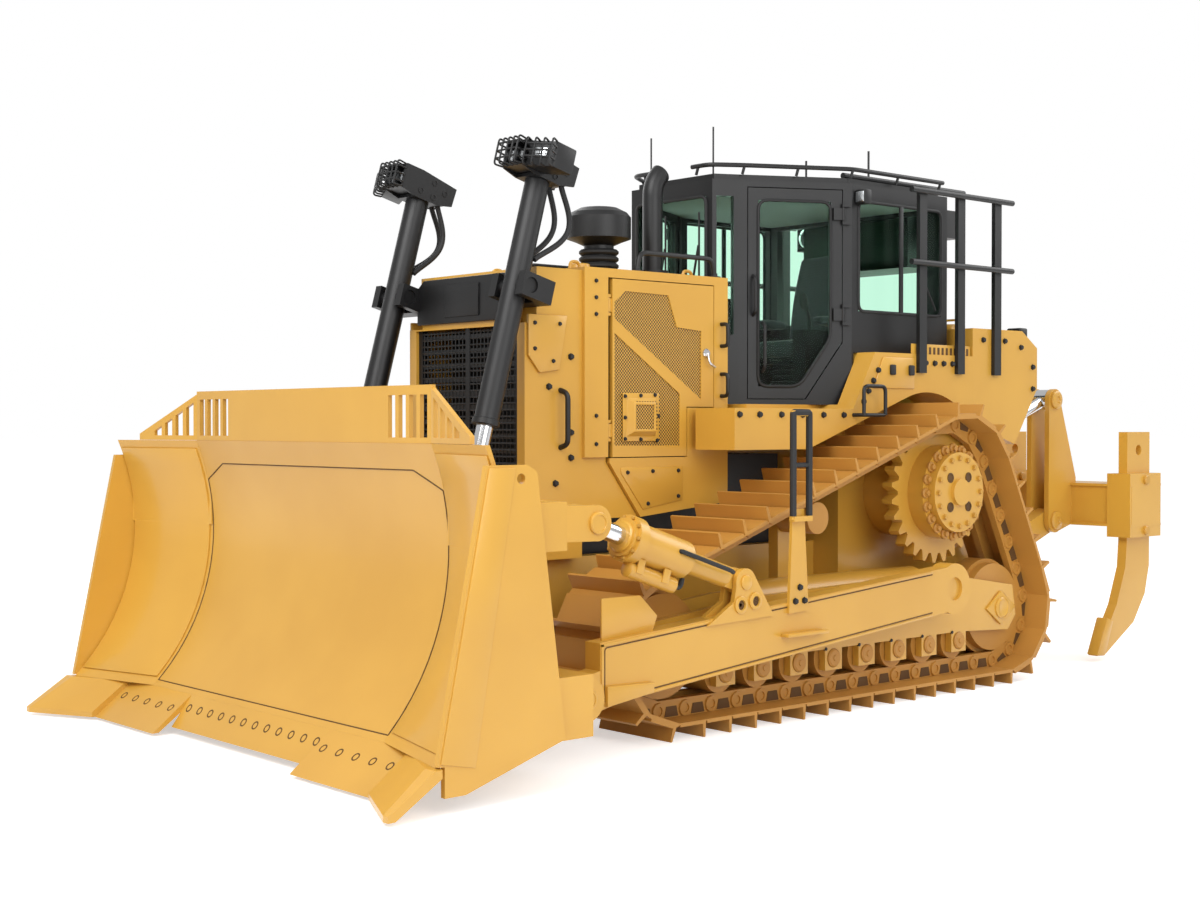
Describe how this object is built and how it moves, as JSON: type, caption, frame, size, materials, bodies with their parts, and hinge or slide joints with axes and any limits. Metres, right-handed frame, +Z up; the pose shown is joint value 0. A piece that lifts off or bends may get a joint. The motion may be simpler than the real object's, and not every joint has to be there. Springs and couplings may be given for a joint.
{
  "type": "crawler bulldozer",
  "caption": "Large high-drive crawler bulldozer with a semi-universal blade on push arms, tapered cab, handrails and a multi-shank ripper.",
  "frame": {"origin": "on the ground, midway between the front of the blade and the rear of the ripper, on the machine's centre plane", "axes": "+X forward towards the blade, +Y to the operator's left, +Z up"},
  "size_m": [7.77, 3.94, 3.7834],
  "materials": {
    "yellow_paint": "gloss",
    "black_paint": "satin",
    "cab_black": "satin",
    "rod_chrome": "polished",
    "cab_glass": "tinted",
    "seat_fabric": "woven",
    "track_steel": "satin"
  },
  "bodies": {
    "machine": {"main_frame": "yellow_paint", "engine_block": "black_paint", "radiator_guard": "yellow_paint", "radiator_core": "black_paint", "grille": "black_paint", "hood": "yellow_paint", "exhaust_stack": "black_paint", "precleaner": "black_paint", "platform": "yellow_paint", "fuel_tank": "yellow_paint", "cab_frame": "cab_black", "cab_glass": "cab_glass", "operator_seat": "seat_fabric", "console": "black_paint", "handrails": "black_paint", "roof_fittings": "black_paint", "track_left": "track_steel", "track_right": "track_steel", "idlers": "yellow_paint", "rollers": "yellow_paint", "roller_frame_left": "yellow_paint", "roller_frame_right": "yellow_paint", "sprocket_left": "yellow_paint", "sprocket_right": "yellow_paint", "lift_yokes": "black_paint"},
    "push_arms": {"push_arm_left": "yellow_paint", "push_arm_right": "yellow_paint"},
    "blade": {"blade": "yellow_paint", "blade_wings": "yellow_paint", "spill_guard": "yellow_paint", "cutting_edges": "yellow_paint"},
    "tilt_barrels": {"tilt_barrels": "yellow_paint"},
    "tilt_rods": {"tilt_rods": "rod_chrome"},
    "lift_barrels": {"lift_barrels": "black_paint", "lift_lamps": "black_paint"},
    "lift_rods": {"lift_rods": "rod_chrome"},
    "ripper_link": {"ripper_link": "yellow_paint"},
    "ripper_beam": {"ripper_beam": "yellow_paint", "ripper_shanks": "yellow_paint"},
    "ripper_tilt_cylinders": {"ripper_tilt_barrels": "yellow_paint", "ripper_tilt_rods": "rod_chrome"},
    "ripper_lift_barrels": {"ripper_lift_barrels": "yellow_paint"},
    "ripper_lift_rods": {"ripper_lift_rods": "rod_chrome"},
    "cab_door_left": {"cab_door_left": "cab_black", "door_glass_left": "cab_glass"},
    "cab_door_right": {"cab_door_right": "cab_black", "door_glass_right": "cab_glass"},
    "engine_door_left": {"engine_door_left": "yellow_paint"},
    "engine_door_right": {"engine_door_right": "yellow_paint"}
  },
  "joints": [
    {"name": "blade_lift", "type": "hinge", "parent": "machine", "child": "push_arms", "pos_m": [-0.845, 0, 0.73], "axis": [0, -1, 0], "range_deg": [-7, 14.7]},
    {"name": "blade_pitch", "type": "hinge", "parent": "push_arms", "child": "blade", "pos_m": [2.365, 0, 0.36], "axis": [0, -1, 0], "range_deg": [-5, 5]},
    {"name": "tilt_barrel_swing", "type": "hinge", "parent": "push_arms", "child": "tilt_barrels", "pos_m": [1.139, 0, 0.896], "axis": [0, -1, 0], "range_deg": [-0.95, 0.95]},
    {"name": "tilt_rod_slide", "type": "slide", "parent": "tilt_barrels", "child": "tilt_rods", "axis": [0.9493, 0, 0.3143], "range_m": [-0.0795, 0.0795]},
    {"name": "lift_barrel_swing", "type": "hinge", "parent": "machine", "child": "lift_barrels", "pos_m": [2.067, 0, 2.59], "axis": [0, -1, 0], "range_deg": [-3.12, 6.55]},
    {"name": "lift_rod_slide", "type": "slide", "parent": "lift_barrels", "child": "lift_rods", "axis": [0.2613, 0, -0.9653], "range_m": [-0.8716, 0.4151]},
    {"name": "ripper_lift", "type": "hinge", "parent": "machine", "child": "ripper_link", "pos_m": [-2.255, 0, 0.7], "axis": [0, 1, 0], "range_deg": [-32, 25]},
    {"name": "ripper_beam_level", "type": "hinge", "parent": "ripper_link", "child": "ripper_beam", "pos_m": [-3.245, 0, 1.05], "axis": [0, 1, 0], "range_deg": [-25, 32]},
    {"name": "ripper_tilt_swing", "type": "hinge", "parent": "machine", "child": "ripper_tilt_cylinders", "pos_m": [-2.25, 0, 1.64], "axis": [0, 1, 0], "range_deg": [-32, 25]},
    {"name": "ripper_lift_barrel_swing", "type": "hinge", "parent": "machine", "child": "ripper_lift_barrels", "pos_m": [-2.245, 0, 1.76], "axis": [0, 1, 0], "range_deg": [-9.47, 7.4]},
    {"name": "ripper_lift_rod_slide", "type": "slide", "parent": "ripper_lift_barrels", "child": "ripper_lift_rods", "axis": [-0.5946, 0, -0.804], "range_m": [-0.2645, 0.3385]},
    {"name": "cab_door_left_hinge", "type": "hinge", "parent": "machine", "child": "cab_door_left", "pos_m": [-0.5475, 0.8339, 2.5], "axis": [0, 0, 1], "range_deg": [0, 95]},
    {"name": "cab_door_right_hinge", "type": "hinge", "parent": "machine", "child": "cab_door_right", "pos_m": [-0.5475, -0.8339, 2.5], "axis": [0, 0, -1], "range_deg": [0, 95]},
    {"name": "engine_door_left_hinge", "type": "hinge", "parent": "machine", "child": "engine_door_left", "pos_m": [1.332, 0.585, 2.1], "axis": [0, 0, 1], "range_deg": [-100, 0]},
    {"name": "engine_door_right_hinge", "type": "hinge", "parent": "machine", "child": "engine_door_right", "pos_m": [1.332, -0.585, 2.1], "axis": [0, 0, -1], "range_deg": [-100, 0]}
  ],
  "couplings": [
    {"joint": "tilt_barrel_swing", "follows": "blade_pitch", "ratio": 0.1866},
    {"joint": "tilt_rod_slide", "follows": "blade_pitch", "m_per_rad": -0.8937},
    {"joint": "lift_barrel_swing", "follows": "blade_lift", "ratio": 0.4369},
    {"joint": "lift_rod_slide", "follows": "blade_lift", "m_per_rad": -3.3307},
    {"joint": "ripper_beam_level", "follows": "ripper_lift", "ratio": -1},
    {"joint": "ripper_tilt_swing", "follows": "ripper_lift", "ratio": 1},
    {"joint": "ripper_lift_barrel_swing", "follows": "ripper_lift", "ratio": 0.2902},
    {"joint": "ripper_lift_rod_slide", "follows": "ripper_lift", "m_per_rad": -0.5942}
  ]
}
